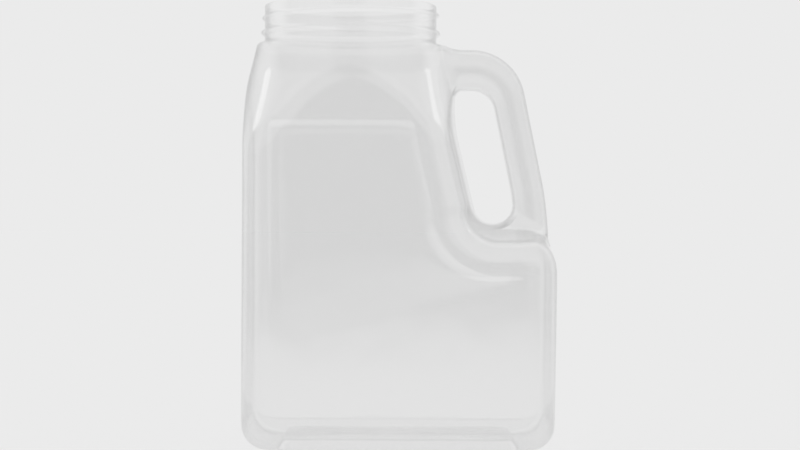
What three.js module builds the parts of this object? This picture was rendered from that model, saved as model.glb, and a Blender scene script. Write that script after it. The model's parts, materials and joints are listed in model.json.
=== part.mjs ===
// Clear one-gallon oblong jug with a wide screw neck and a hollow moulded handle, one blown shell.
// Millimetres, +Z up, +X towards the handle, front panel facing -Y.
// Origin: middle of the outline box, on the plane that the foot stands on.
import * as THREE from 'three';

// Overall size
const HEIGHT = 266;
const HALF_WIDTH = 94;
const HALF_DEPTH = 55;
const WALL = 1.0;
const NECK_WALL = 2.0;

// Screw neck, round about its own upright axis
const NECK_X = -30.3;
const NECK_RADIUS = 52.3;
const RIM_EDGE = 0.7;
const THREAD_PITCH = 5.08;
const THREAD_RISE = 1.7;
const THREAD_HALF_WIDTH = 1.7;
const THREAD_MIDDLE_Z = 259.2;
const THREAD_FADE = 0.6;
const THREAD_TOP_Z = 264.2;
const THREAD_FOOT_Z = 254.2;
const BEAD_Z = 249.2;
const BEAD_RISE = 2.3;
const BEAD_HALF_WIDTH = 2.4;
const NECK_FOOT_Z = 244.6;

// Shoulder: a dome that widens below the ledge and is cut by the flat faces and sides
const LEDGE_START_Z = 243;
const LEDGE_START_RADIUS = 54.4;
const LEDGE_Z = 240.8;
const LEDGE_RADIUS_X = 57.3;
const LEDGE_RADIUS_Y = 54.2;
const ARM_DIP = 3.2;
const ARM_DIP_HALF = 36;
const ARM_FOOT_ROW_Z = 208;
const SHOULDER_Z = 198;
const DOME_TOP_SLOPE = 0.06;
const DOME_FACE_SLOPE = 0.5;
const DOME_FACE_TOP_Z = 229.3;
const DOME_FACE_SOFT = 1.6;
const DOME_SIDE_SLOPE = 0.25;
const DOME_SIDE_SOFT = 2;
const DOME_SIDE_POWER = 6;
const WALL_CORNER = 14;
const SIDE_CROWN = 1;
const CROWN_POWER = 1.5;
const FOOT_SLANT = 1.2;

// Finger gap, seen from the front: a wall that leans out, then a round bottom
const GAP_WALL_X = 32.9;
const GAP_BEND_TOP_Z = 206;
const GAP_BEND_FOOT_Z = 177;
const GAP_LEAN = THREE.MathUtils.degToRad(13.5);
const GAP_ROUND_X = 56.8;
const GAP_ROUND_Z = 145.6;
const GAP_ROUND = 12;
const GAP_WALL_CROWN = 4.8;
const GAP_ROUND_CROWN = 6;
const SADDLE_CROWN = 10;
const SADDLE_Z = GAP_ROUND_Z - GAP_ROUND;

// Lower shoulder beyond the gap, swept about one centre
const TURN_X = 70.4;
const TURN_Z = 99.8;
const TURN_SQUARENESS = 2.7;
const HOLE_TURN = 0.53;

// Label panel, sunk into the front and the back
const LABEL_SINK = 1.2;
const LABEL_STEP = 3;
const LABEL_TOP_Z = 194;
const LABEL_FOOT_Z = 31;
const LABEL_MARGIN_LEFT = 1.2;
const LABEL_MARGIN_GAP = 5.6;
const LABEL_MARGIN_RIGHT = 4.4;
const LABEL_TURN = 1.2;
const LABEL_CORNER = 5;
const FAN_TOP_Z = 157;
const FAN_MIDDLE_Z = 100;
const FAN_FOOT_Z = 60;

// Foot
const HEEL_END = 16;
const HEEL_FRONT = 10;
const FOOT_SCALE = 0.835;
const FOOT_RING_SCALE = 0.78;
const PUSH_UP_SCALE = 0.73;
const PUSH_UP = 5.5;
const BASE_DOME_SCALE = 0.4;
const BASE_DOME = 7;

// Handle, a tube between two outlines seen from the front
const HANDLE_HALF_DEPTH = 14.5;
const HANDLE_SQUARENESS = 2.6;
const ARM_START_X = 38;
const ARM_TOP_Z = 239.6;
const ARM_FOOT_Z = 214.9;
const BEND_OUTER_X = 43.3;
const BEND_OUTER = 33;
const BEND_INNER_X = 43.8;
const BEND_INNER = 14;
const GRIP_LEAN = THREE.MathUtils.degToRad(11.6);
const GRIP_LENGTH = 55.5;
const GRIP_FOOT_OUTER = { x: 90.3, z: 131 };
const GRIP_FOOT_INNER = { x: 68.8, z: 145.6 };
const GRIP_FOOT_LEAN = THREE.MathUtils.degToRad(3.5);
const GRIP_FOOT_KNEE = 0.4;
const HANDLE_HOLE_HALF = 20;
const BLEND_PULL = 1.17;

// How finely each stretch is faceted
const HOLE_COLUMNS = 3;
const WALL_COLUMNS = 2;
const CORNER_COLUMNS = 4;
const MIDDLE_COLUMNS = 3;
const THREAD_ROWS = 8;
const BEAD_ROWS = 4;
const HOLE_ROWS = 6;
const GAP_ROUND_ROWS = 4;
const SADDLE_ROWS = 2;
const HEEL_ROWS = 3;
const BLEND_LOOPS = 3;
const BEND_STEPS = 7;
const GRIP_STEPS = 3;
const GRIP_FOOT_STEPS = 2;
const LEVEL_PASSES = 4;

// Bearings of the columns in the round rows, from the side towards the front or back
const QUARTER_TURN = Math.PI / 2;
const FULL_TURN = 2 * Math.PI;
const HOLE_ANGLE = THREE.MathUtils.degToRad(20.5);
const STRIP_ANGLE = THREE.MathUtils.degToRad(30);
const PANEL_ANGLE = THREE.MathUtils.degToRad(15);

const mix = THREE.MathUtils.lerp;
const point = (x, z) => ({ x, z });
const steps = (count) => Array.from({ length: count }, (_, i) => (i + 1) / count);

// A column is one upright line of the body's grid. A quarter runs from the side to the panel's middle.
function quarterColumns() {
  const strip = HALF_DEPTH - WALL_CORNER;
  const columns = [{ zone: 'strip', y: 0, angle: 0 }];
  for (const t of steps(HOLE_COLUMNS)) {
    columns.push({ zone: 'strip', y: HANDLE_HOLE_HALF * t, angle: HOLE_ANGLE * t });
  }
  for (const t of steps(WALL_COLUMNS)) {
    const angle = mix(HOLE_ANGLE, STRIP_ANGLE, t);
    columns.push({ zone: 'strip', y: mix(HANDLE_HOLE_HALF, strip, t), angle });
  }
  const panelStart = QUARTER_TURN - PANEL_ANGLE;
  for (const t of steps(CORNER_COLUMNS)) {
    columns.push({ zone: 'corner', turn: QUARTER_TURN * t, angle: mix(STRIP_ANGLE, panelStart, t) });
  }
  const panel = [{ zone: 'panel', step: 0 }, { zone: 'panel', step: 1 }];
  panel.push(...steps(MIDDLE_COLUMNS).map((across) => ({ zone: 'middle', step: 1, across })));
  const angles = steps(panel.length).map((t) => mix(panelStart, QUARTER_TURN, t));
  columns.push(...panel.map((column, i) => ({ ...column, angle: angles[i] })));
  return columns;
}

// All columns, anticlockwise from above, from the middle of the handle side
function ringColumns() {
  const quarter = quarterColumns();
  const place = (column, side, face) => ({ ...column, side, face });
  const backRight = quarter.map((column) => place(column, 'right', 1));
  const backLeft = quarter.slice(0, -1).reverse().map((column) => place(column, 'left', 1));
  const frontLeft = quarter.slice(1).map((column) => place(column, 'left', -1));
  const frontRight = quarter.slice(1, -1).reverse().map((column) => place(column, 'right', -1));
  return [...backRight, ...backLeft, ...frontLeft, ...frontRight];
}

const COLUMNS = ringColumns();

// A round row: an ellipse about the neck's axis
function roundPoint(radiusX, radiusY, z, column) {
  const side = column.side === 'right' ? 1 : -1;
  const x = NECK_X + side * radiusX * Math.cos(column.angle);
  const y = column.face * radiusY * Math.sin(column.angle);
  return new THREE.Vector3(x, y, z);
}

// A ledge row dips where the handle's arm leaves it
function ledgePoint(row, column) {
  const at = roundPoint(row.radiusX, row.radiusY, row.z, column);
  if (column.side === 'right' && Math.abs(at.y) < ARM_DIP_HALF) {
    at.z -= row.dip * Math.cos(at.y / ARM_DIP_HALF * QUARTER_TURN) ** 2;
  }
  return at;
}

// How far a column lies in from the side's outline, and how far towards the front or back
function insetOf(edge, column, sink) {
  const strip = HALF_DEPTH - WALL_CORNER;
  if (column.zone === 'strip') {
    return { inward: edge.crown * (column.y / strip) ** CROWN_POWER, y: column.y };
  }
  if (column.zone === 'corner') {
    const inward = edge.crown + WALL_CORNER * (1 - Math.cos(column.turn));
    return { inward, y: strip + WALL_CORNER * Math.sin(column.turn) };
  }
  const inward = edge.crown + WALL_CORNER + edge.margin + LABEL_STEP * column.step;
  return { inward, y: HALF_DEPTH - LABEL_SINK * sink * column.step };
}

function edgePoint(edge, column, sink) {
  const inset = insetOf(edge, column, sink);
  const x = edge.x - edge.outX * inset.inward;
  return new THREE.Vector3(x, column.face * inset.y, edge.z - edge.outZ * inset.inward);
}

// A square row: both side outlines, their corners, and the flat panel between
function squarePoint(row, column) {
  if (column.zone === 'middle') {
    const left = edgePoint(row.left, column, row.sink);
    const right = edgePoint(row.right, column, row.sink);
    const [near, far] = column.side === 'left' ? [left, right] : [right, left];
    return near.lerp(far, column.across / 2);
  }
  return edgePoint(row[column.side], column, row.sink);
}

// The smaller of two lengths, with the corner between them rounded off
function softMin(a, b, softness) {
  const share = THREE.MathUtils.clamp(0.5 + (b - a) / (2 * softness), 0, 1);
  return mix(b, a, share) - softness * share * (1 - share);
}

// A square row's point, drawn in to the shoulder's dome where the dome is the smaller
function cutByDome(square) {
  const across = square.x - NECK_X;
  const bearing = Math.atan2(square.y, across);
  const sideways = Math.cos(bearing) ** DOME_SIDE_POWER;
  const ledge = 1 / Math.hypot(Math.cos(bearing) / LEDGE_RADIUS_X, Math.sin(bearing) / LEDGE_RADIUS_Y);
  const below = LEDGE_Z - square.z;
  const faceSlope = DOME_FACE_SLOPE * (DOME_FACE_TOP_Z - square.z);
  const faceGrowth = -softMin(-DOME_TOP_SLOPE * below, -faceSlope, DOME_FACE_SOFT);
  const dome = ledge + mix(faceGrowth, DOME_SIDE_SLOPE * below, sideways);
  const reach = Math.hypot(across, square.y);
  const kept = softMin(dome, reach, mix(DOME_FACE_SOFT, DOME_SIDE_SOFT, sideways)) / reach;
  return new THREE.Vector3(NECK_X + across * kept, square.y * kept, square.z);
}

// Where a row's outline lies in one direction from the neck's axis
function outlineAt(outline, bearing) {
  const turned = (at) => Math.cos(bearing) * at.y - Math.sin(bearing) * (at.x - NECK_X);
  const ahead = (at) => Math.cos(bearing) * (at.x - NECK_X) + Math.sin(bearing) * at.y > 0;
  const next = (u) => outline[(u + 1) % outline.length];
  const u = outline.findIndex((at, i) => ahead(at) && turned(at) <= 0 && turned(next(i)) > 0);
  const share = turned(outline[u]) / (turned(outline[u]) - turned(next(u)));
  return outline[u].clone().lerp(next(u), share);
}

// A shoulder row: its columns swing from the neck's even spacing to the square outline's own
function shoulderRing(row) {
  const outline = COLUMNS.map((column) => squarePoint(row, column));
  return COLUMNS.map((column, u) => {
    const round = roundPoint(LEDGE_RADIUS_X, LEDGE_RADIUS_Y, row.z, column);
    const [from, to] = [round, outline[u]].map((at) => Math.atan2(at.y, at.x - NECK_X));
    return cutByDome(outlineAt(outline, mix(from, to, row.squareness)));
  });
}

// One turn of a right-hand thread that starts and ends at the back and fades out there
function threadRise(column, z) {
  const fromRight = column.side === 'right' ? column.angle : Math.PI - column.angle;
  const fromBack = (fromRight * column.face + 3 * QUARTER_TURN) % FULL_TURN;
  const crestZ = THREAD_MIDDLE_Z + THREAD_PITCH * (fromBack / FULL_TURN - 0.5);
  const off = Math.abs(z - crestZ) / THREAD_HALF_WIDTH;
  const fromEnd = Math.min(fromBack, FULL_TURN - fromBack);
  const fade = Math.min(1, fromEnd / THREAD_FADE);
  return off < 1 ? THREAD_RISE * fade * Math.cos(off * QUARTER_TURN) : 0;
}

function neckPoint(row, column) {
  const threaded = row.z <= THREAD_TOP_Z && row.z >= THREAD_FOOT_Z;
  const radius = row.radius + (threaded ? threadRise(column, row.z) : 0);
  return roundPoint(radius, radius, row.z, column);
}

// Foot rows shrink the outline of the walls' end towards the middle of the base
function footPoint(row, column) {
  const outline = squarePoint(row.outline, column);
  const onPanel = Number(column.zone !== 'strip');
  const frontness = column.zone === 'corner' ? Math.sin(column.turn) ** 2 : onPanel;
  const heel = mix(HEEL_END, HEEL_FRONT, frontness);
  return new THREE.Vector3(outline.x * row.scale, outline.y * row.scale, row.z + heel * row.heelPart);
}

function rowRing(row) {
  if (row.kind === 'shoulder') {
    return shoulderRing(row);
  }
  const place = { neck: neckPoint, ledge: ledgePoint, foot: footPoint, wall: squarePoint }[row.kind];
  return COLUMNS.map((column) => place(row, column));
}

function neckRow(z, rise = 0, inside = false) {
  return { kind: 'neck', z, radius: NECK_RADIUS + rise, inside, wall: NECK_WALL };
}

// How far the label's rounded corner draws in its side border at one height
function cornerMargin(z) {
  const over = LABEL_CORNER - Math.min(LABEL_TOP_Z - z, z - LABEL_FOOT_Z);
  const inward = THREE.MathUtils.clamp(over, 0, LABEL_CORNER);
  return LABEL_CORNER - Math.sqrt(LABEL_CORNER ** 2 - inward ** 2);
}

function leftEdge(z) {
  const margin = LABEL_MARGIN_LEFT + cornerMargin(z);
  return { x: -HALF_WIDTH, z, outX: -1, outZ: 0, crown: SIDE_CROWN, margin };
}

function rightEdge(at, lean, crown, margin) {
  return { ...at, outX: Math.cos(lean), outZ: Math.sin(lean), crown, margin };
}

// Right outline behind the arm and down the finger gap's leaning wall
function gapWallEdge(z) {
  const arcStartX = GAP_ROUND_X - GAP_ROUND * Math.cos(GAP_LEAN);
  const arcStartZ = GAP_ROUND_Z - GAP_ROUND * Math.sin(GAP_LEAN);
  const lineX = arcStartX - (z - arcStartZ) * Math.tan(GAP_LEAN);
  if (z <= GAP_BEND_FOOT_Z) {
    return rightEdge(point(lineX, z), GAP_LEAN, GAP_WALL_CROWN, LABEL_MARGIN_GAP);
  }
  if (z >= GAP_BEND_TOP_Z) {
    return rightEdge(point(GAP_WALL_X, z), 0, GAP_WALL_CROWN, LABEL_MARGIN_GAP);
  }
  const bend = (GAP_BEND_TOP_Z - z) / (GAP_BEND_TOP_Z - GAP_BEND_FOOT_Z);
  const footX = arcStartX - (GAP_BEND_FOOT_Z - arcStartZ) * Math.tan(GAP_LEAN);
  const x = mix(GAP_WALL_X, footX, bend ** 2);
  return rightEdge(point(x, z), GAP_LEAN * bend, GAP_WALL_CROWN, LABEL_MARGIN_GAP);
}

// The gap wall's edge that brings the label's border to the given height, fading to the plain edge
function levelEdge(z) {
  const inward = GAP_WALL_CROWN + WALL_CORNER + LABEL_MARGIN_GAP + LABEL_STEP;
  const level = THREE.MathUtils.clamp((z - FAN_TOP_Z) / (LABEL_TOP_Z - LABEL_STEP - FAN_TOP_Z), 0, 1);
  let edge = gapWallEdge(z);
  for (let pass = 0; pass < LEVEL_PASSES; pass += 1) {
    edge = gapWallEdge(z + level * inward * edge.outZ);
  }
  return { ...edge, margin: edge.margin + cornerMargin(z) };
}

// Round bottom of the gap, from its leaning wall (0) to its lowest point (1)
function gapRoundEdge(t) {
  const down = mix(GAP_LEAN, QUARTER_TURN, t);
  const at = point(GAP_ROUND_X - GAP_ROUND * Math.cos(down), GAP_ROUND_Z - GAP_ROUND * Math.sin(down));
  return rightEdge(at, down, mix(GAP_ROUND_CROWN, SADDLE_CROWN, t), LABEL_MARGIN_GAP);
}

function saddleEdge(t) {
  const at = point(mix(GAP_ROUND_X, TURN_X, t), SADDLE_Z);
  return rightEdge(at, QUARTER_TURN, SADDLE_CROWN, LABEL_MARGIN_GAP);
}

// Lower shoulder, a squarish quarter oval from level above its centre (0) to upright beside it (1)
function turnEdge(t) {
  const bearing = QUARTER_TURN * (1 - t);
  const across = (Math.cos(bearing) / (HALF_WIDTH - TURN_X)) ** TURN_SQUARENESS;
  const up = (Math.sin(bearing) / (SADDLE_Z - TURN_Z)) ** TURN_SQUARENESS;
  const reach = (across + up) ** (-1 / TURN_SQUARENESS);
  const at = point(TURN_X + reach * Math.cos(bearing), TURN_Z + reach * Math.sin(bearing));
  const level = Math.sin(bearing) ** 2;
  const crown = mix(SIDE_CROWN, SADDLE_CROWN, level ** 2);
  return rightEdge(at, bearing, crown, reach - crown - WALL_CORNER - LABEL_STEP - LABEL_TURN);
}

function rightWallEdge(z) {
  const slant = FOOT_SLANT * (1 - z / TURN_Z);
  const margin = LABEL_MARGIN_RIGHT + cornerMargin(z);
  return rightEdge(point(HALF_WIDTH - slant, z), 0, SIDE_CROWN, margin);
}

function wallRow(left, right, sink = 1) {
  return { kind: 'wall', left, right, sink, inside: true, wall: WALL };
}

function shoulderRow(z, sink = 0) {
  const down = Math.min(1, (LEDGE_Z - z) / (LEDGE_Z - SHOULDER_Z));
  const row = wallRow(leftEdge(z), levelEdge(z), sink);
  return { ...row, kind: 'shoulder', z, squareness: Math.sin(QUARTER_TURN * down) };
}

function neckRows() {
  const rows = [
    neckRow(HEIGHT, -2 * RIM_EDGE),
    neckRow(HEIGHT, -RIM_EDGE),
    neckRow(HEIGHT - RIM_EDGE, 0, true),
  ];
  for (const t of [0, ...steps(THREAD_ROWS)]) {
    rows.push(neckRow(mix(THREAD_TOP_Z, THREAD_FOOT_Z, t)));
  }
  for (const t of [0, ...steps(BEAD_ROWS)]) {
    const across = 2 * t - 1;
    const rise = BEAD_RISE * Math.cos(across * QUARTER_TURN);
    rows.push(neckRow(BEAD_Z - BEAD_HALF_WIDTH * across, rise));
  }
  rows.push(neckRow(NECK_FOOT_Z, 0, true));
  return rows;
}

function ledgeRow(z, radiusX, radiusY, dip, wall) {
  return { kind: 'ledge', z, radiusX, radiusY, dip, wall, inside: true };
}

function bodyRows() {
  const rows = neckRows();
  const topHole = { first: rows.length };
  const startY = mix(NECK_RADIUS, LEDGE_RADIUS_Y, 0.5);
  rows.push(ledgeRow(LEDGE_START_Z, LEDGE_START_RADIUS, startY, ARM_DIP, mix(WALL, NECK_WALL, 0.5)));
  rows.push(ledgeRow(LEDGE_Z, LEDGE_RADIUS_X, LEDGE_RADIUS_Y, ARM_DIP / 4, WALL));
  for (const t of steps(HOLE_ROWS - 1)) {
    rows.push(shoulderRow(mix(LEDGE_Z, ARM_FOOT_ROW_Z, t)));
  }
  topHole.last = rows.length - 1;
  const panelTop = LABEL_TOP_Z - LABEL_STEP;
  rows.push(shoulderRow(SHOULDER_Z), shoulderRow(LABEL_TOP_Z), shoulderRow(panelTop, 1));
  rows.push(shoulderRow(mix(panelTop, GAP_BEND_FOOT_Z, 0.5), 1), shoulderRow(GAP_BEND_FOOT_Z, 1));
  rows.push(wallRow(leftEdge(FAN_TOP_Z), gapWallEdge(FAN_TOP_Z)));
  const rightEdges = [0, ...steps(GAP_ROUND_ROWS)].map(gapRoundEdge);
  const footHole = { first: rows.length + rightEdges.length - 1 };
  rightEdges.push(...steps(SADDLE_ROWS).map(saddleEdge));
  rightEdges.push(...steps(HOLE_ROWS - SADDLE_ROWS).map((t) => turnEdge(HOLE_TURN * t)));
  footHole.last = rows.length + rightEdges.length - 1;
  rightEdges.push(turnEdge(mix(HOLE_TURN, 1, 0.5)), turnEdge(1));
  const roundCount = footHole.first - rows.length + 1;
  rightEdges.forEach((edge, i) => {
    const upper = mix(FAN_TOP_Z, FAN_MIDDLE_Z, (i + 1) / roundCount);
    const past = (i + 1 - roundCount) / (rightEdges.length - roundCount);
    const lower = mix(FAN_MIDDLE_Z, FAN_FOOT_Z, past);
    rows.push(wallRow(leftEdge(i < roundCount ? upper : lower), edge));
  });
  const panelFoot = LABEL_FOOT_Z + LABEL_STEP;
  rows.push(wallRow(leftEdge(panelFoot), rightWallEdge(panelFoot)));
  rows.push(wallRow(leftEdge(LABEL_FOOT_Z), rightWallEdge(LABEL_FOOT_Z), 0));
  const wallEnd = wallRow(leftEdge(HEEL_END), rightWallEdge(HEEL_END), 0);
  const footRow = (scale, z, heelPart = 0) => {
    return { ...wallEnd, kind: 'foot', outline: wallEnd, scale, z, heelPart };
  };
  rows.push(footRow(1, 0, 1));
  for (const t of steps(HEEL_ROWS)) {
    const turn = QUARTER_TURN * t;
    rows.push(footRow(mix(FOOT_SCALE, 1, Math.cos(turn)), 0, 1 - Math.sin(turn)));
  }
  rows.push(footRow(FOOT_RING_SCALE, 0));
  rows.push(footRow(PUSH_UP_SCALE, PUSH_UP));
  rows.push(footRow(BASE_DOME_SCALE, BASE_DOME));
  return { rows, topHole, footHole };
}

// Handle sections: the outer and inner outline points that face each other, and the way the tube runs
function handleSections() {
  const sections = [];
  const add = (outer, inner, along) => sections.push({ outer, inner, along });
  add(point(ARM_START_X, ARM_TOP_Z), point(ARM_START_X, ARM_FOOT_Z), point(1, 0));
  for (let i = 0; i <= BEND_STEPS; i += 1) {
    const bearing = mix(QUARTER_TURN, GRIP_LEAN, i / BEND_STEPS);
    const out = point(Math.cos(bearing), Math.sin(bearing));
    const outerZ = ARM_TOP_Z - BEND_OUTER + BEND_OUTER * out.z;
    const innerZ = ARM_FOOT_Z - BEND_INNER + BEND_INNER * out.z;
    const outer = point(BEND_OUTER_X + BEND_OUTER * out.x, outerZ);
    add(outer, point(BEND_INNER_X + BEND_INNER * out.x, innerZ), point(out.z, -out.x));
  }
  const bendEnd = sections.at(-1);
  const down = bendEnd.along;
  const out = point(-down.z, down.x);
  const bendDrop = bendEnd.outer.z - bendEnd.inner.z;
  const thick = (bendEnd.outer.x - bendEnd.inner.x) * out.x + bendDrop * out.z;
  for (const t of steps(GRIP_STEPS)) {
    const length = GRIP_LENGTH * t;
    const outer = point(bendEnd.outer.x + down.x * length, bendEnd.outer.z + down.z * length);
    const slip = mix(bendDrop, out.z * thick, t);
    add(outer, point(outer.x - (thick - slip * out.z) / out.x, outer.z - slip), down);
  }
  const gripEnd = sections.at(-1);
  const flat = (at) => new THREE.Vector2(at.x, at.z);
  const footCurve = (from, to) => {
    const fall = (from.z - to.z) * GRIP_FOOT_KNEE;
    const knee = point(from.x - down.x / down.z * fall, from.z - fall);
    return new THREE.QuadraticBezierCurve(flat(from), flat(knee), flat(to));
  };
  const outerFoot = footCurve(gripEnd.outer, GRIP_FOOT_OUTER);
  const innerFoot = footCurve(gripEnd.inner, GRIP_FOOT_INNER);
  const footAlong = point(Math.sin(GRIP_FOOT_LEAN), -Math.cos(GRIP_FOOT_LEAN));
  for (const t of steps(GRIP_FOOT_STEPS)) {
    const outer = outerFoot.getPoint(t);
    const inner = innerFoot.getPoint(t);
    add(point(outer.x, outer.y), point(inner.x, inner.y), footAlong);
  }
  return sections;
}

// Bearings of the loop's points round a section: outer side, back, inner side, front
function loopBearings() {
  const bearings = [];
  const sideCells = [2 * HOLE_COLUMNS, HOLE_ROWS, 2 * HOLE_COLUMNS, HOLE_ROWS];
  sideCells.forEach((cells, side) => {
    for (let i = 0; i < cells; i += 1) {
      bearings.push(QUARTER_TURN * (side - 0.5 + i / cells));
    }
  });
  return bearings;
}

const squash = (value) => Math.sign(value) * Math.abs(value) ** (2 / HANDLE_SQUARENESS);

function sectionLoop(section) {
  const { outer, inner } = section;
  const middle = point((outer.x + inner.x) / 2, (outer.z + inner.z) / 2);
  return loopBearings().map((bearing) => {
    const out = squash(Math.cos(bearing));
    const x = middle.x + (outer.x - middle.x) * out;
    const z = middle.z + (outer.z - middle.z) * out;
    return new THREE.Vector3(x, HANDLE_HALF_DEPTH * squash(Math.sin(bearing)), z);
  });
}

// Grid places round a hole in the body, in the loop's order, each with its neighbour inside the hole
function holeBorder(outerRow, innerRow) {
  const count = COLUMNS.length;
  const column = (k) => (k + count) % count;
  const rowStep = Math.sign(innerRow - outerRow);
  const border = [];
  const add = (row, k, rowIn, columnIn) => {
    border.push({ row, column: column(k), rowIn: row + rowIn, columnIn: column(k + columnIn) });
  };
  for (let k = -HOLE_COLUMNS; k < HOLE_COLUMNS; k += 1) {
    add(outerRow, k, rowStep, k === -HOLE_COLUMNS ? 1 : 0);
  }
  for (let row = outerRow; row !== innerRow; row += rowStep) {
    add(row, HOLE_COLUMNS, row === outerRow ? rowStep : 0, -1);
  }
  for (let k = HOLE_COLUMNS; k > -HOLE_COLUMNS; k -= 1) {
    add(innerRow, k, -rowStep, k === HOLE_COLUMNS ? -1 : 0);
  }
  for (let row = innerRow; row !== outerRow; row -= rowStep) {
    add(row, -HOLE_COLUMNS, row === innerRow ? -rowStep : 0, 1);
  }
  return border;
}

// Loops of points that carry the body's skin over into the tube
function blendLoops(rings, border, section, towardsBody) {
  const tube = sectionLoop(section);
  const along = new THREE.Vector3(section.along.x, 0, section.along.z).multiplyScalar(towardsBody ? -1 : 1);
  const starts = border.map((place) => rings[place.row][place.column]);
  const pulls = border.map((place, i) => {
    const pull = rings[place.rowIn][place.columnIn].clone().sub(starts[i]).normalize();
    return pull.multiplyScalar(BLEND_PULL * starts[i].distanceTo(tube[i]));
  });
  const loops = [];
  for (let step = 1; step < BLEND_LOOPS + 1; step += 1) {
    const t = step / (BLEND_LOOPS + 1);
    loops.push(tube.map((end, i) => {
      const leave = along.clone().multiplyScalar(BLEND_PULL * starts[i].distanceTo(end));
      const at = starts[i].clone().multiplyScalar(2 * t ** 3 - 3 * t ** 2 + 1);
      at.addScaledVector(pulls[i], t ** 3 - 2 * t ** 2 + t);
      at.addScaledVector(end, 3 * t ** 2 - 2 * t ** 3);
      return at.addScaledVector(leave, t ** 3 - t ** 2);
    }));
  }
  return loops;
}

// The outer skin as numbered points and four-cornered faces
function outerSkin() {
  const { rows, topHole, footHole } = bodyRows();
  const rings = rows.map(rowRing);
  const points = [];
  const keep = (list) => list.map((at) => points.push(at) - 1);
  const ids = rings.map(keep);
  const poleId = points.push(new THREE.Vector3(0, 0, BASE_DOME)) - 1;
  const isHole = (row, u) => {
    const inColumns = u < HOLE_COLUMNS || u >= COLUMNS.length - HOLE_COLUMNS;
    const inRows = (hole) => row >= hole.first && row < hole.last;
    return inColumns && (inRows(topHole) || inRows(footHole));
  };
  const topBorder = holeBorder(topHole.first, topHole.last);
  const footBorder = holeBorder(footHole.last, footHole.first);
  const sections = handleSections();
  const tubeLoops = [
    ...blendLoops(rings, topBorder, sections[0], false),
    ...sections.map(sectionLoop),
    ...blendLoops(rings, footBorder, sections.at(-1), true).reverse(),
  ];
  const tubeIds = [
    topBorder.map((place) => ids[place.row][place.column]),
    ...tubeLoops.map(keep),
    footBorder.map((place) => ids[place.row][place.column]),
  ];
  return { rows, ids, poleId, isHole, tubeIds, points };
}

function pushQuad(faces, a, b, c, d) {
  faces.push([a, b, c], [a, c, d]);
}

// Faces of one skin: the kept rows of the grid, the base's middle and the handle
function skinFaces(skin, rowNumbers) {
  const faces = [];
  const count = COLUMNS.length;
  for (let i = 0; i + 1 < rowNumbers.length; i += 1) {
    const upper = skin.ids[rowNumbers[i]];
    const lower = skin.ids[rowNumbers[i + 1]];
    for (let u = 0; u < count; u += 1) {
      const next = (u + 1) % count;
      if (!skin.isHole(rowNumbers[i], u)) {
        pushQuad(faces, upper[u], lower[u], lower[next], upper[next]);
      }
    }
  }
  const last = skin.ids[rowNumbers.at(-1)];
  last.forEach((id, u) => faces.push([id, skin.poleId, last[(u + 1) % count]]));
  for (let s = 0; s + 1 < skin.tubeIds.length; s += 1) {
    const here = skin.tubeIds[s];
    const there = skin.tubeIds[s + 1];
    here.forEach((id, i) => {
      const next = (i + 1) % here.length;
      pushQuad(faces, id, there[i], there[next], here[next]);
    });
  }
  return faces;
}

function vertexNormals(points, faces) {
  const normals = points.map(() => new THREE.Vector3());
  for (const [a, b, c] of faces) {
    const ab = points[b].clone().sub(points[a]);
    const normal = ab.cross(points[c].clone().sub(points[a]));
    normals[a].add(normal);
    normals[b].add(normal);
    normals[c].add(normal);
  }
  return normals.map((normal) => normal.normalize());
}

// Points of the inner skin, a wall's thickness in from the outer one, with a plain round bore in the neck
function innerSkinPoints(skin, outerFaces) {
  const normals = vertexNormals(skin.points, outerFaces);
  const walls = skin.points.map(() => WALL);
  skin.rows.forEach((row, i) => skin.ids[i].forEach((id) => {
    walls[id] = row.wall;
  }));
  const points = skin.points.map((at, i) => at.clone().addScaledVector(normals[i], -walls[i]));
  const bore = NECK_RADIUS - NECK_WALL;
  skin.rows.forEach((row, i) => {
    if (row.kind === 'neck') {
      skin.ids[i].forEach((id, u) => points[id].copy(roundPoint(bore, bore, row.z, COLUMNS[u])));
    }
  });
  return points;
}

// The outer and inner skins, joined at the rim
function jugGeometry() {
  const skin = outerSkin();
  const outerRowNumbers = skin.rows.map((_, i) => i);
  const innerRowNumbers = outerRowNumbers.filter((i) => skin.rows[i].inside);
  const faces = skinFaces(skin, outerRowNumbers);
  const innerPoints = innerSkinPoints(skin, faces);
  const shift = skin.points.length;
  for (const [a, b, c] of skinFaces(skin, innerRowNumbers)) {
    faces.push([a + shift, c + shift, b + shift]);
  }
  const rimOuter = skin.ids[0];
  const rimInner = skin.ids[innerRowNumbers[0]];
  rimOuter.forEach((id, u) => {
    const next = (u + 1) % rimOuter.length;
    pushQuad(faces, rimInner[u] + shift, id, rimOuter[next], rimInner[next] + shift);
  });
  const used = new Map();
  const positions = [];
  const index = faces.flat().map((id) => {
    if (!used.has(id)) {
      used.set(id, used.size);
      const at = id < shift ? skin.points[id] : innerPoints[id - shift];
      positions.push(at.x, at.y, at.z);
    }
    return used.get(id);
  });
  const geometry = new THREE.BufferGeometry();
  geometry.setAttribute('position', new THREE.Float32BufferAttribute(positions, 3));
  geometry.setIndex(index);
  geometry.computeVertexNormals();
  return geometry;
}

const clearPlastic = new THREE.MeshStandardMaterial({
  color: 0xe6eaea,
  roughness: 0.06,
  metalness: 0,
  transparent: true,
  opacity: 0.35,
});

const jug = new THREE.Mesh(jugGeometry(), clearPlastic);
jug.name = 'jug';

const model = new THREE.Group();
model.add(jug);

export default model;
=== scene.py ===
# Clear one-gallon oblong jug with a wide screw neck and a hollow moulded handle.
# The blown shell is laid out in millimetres, in the frame's own axes, and scaled to metres once.
import json
import math

import bpy
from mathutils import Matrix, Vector, noise

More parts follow.
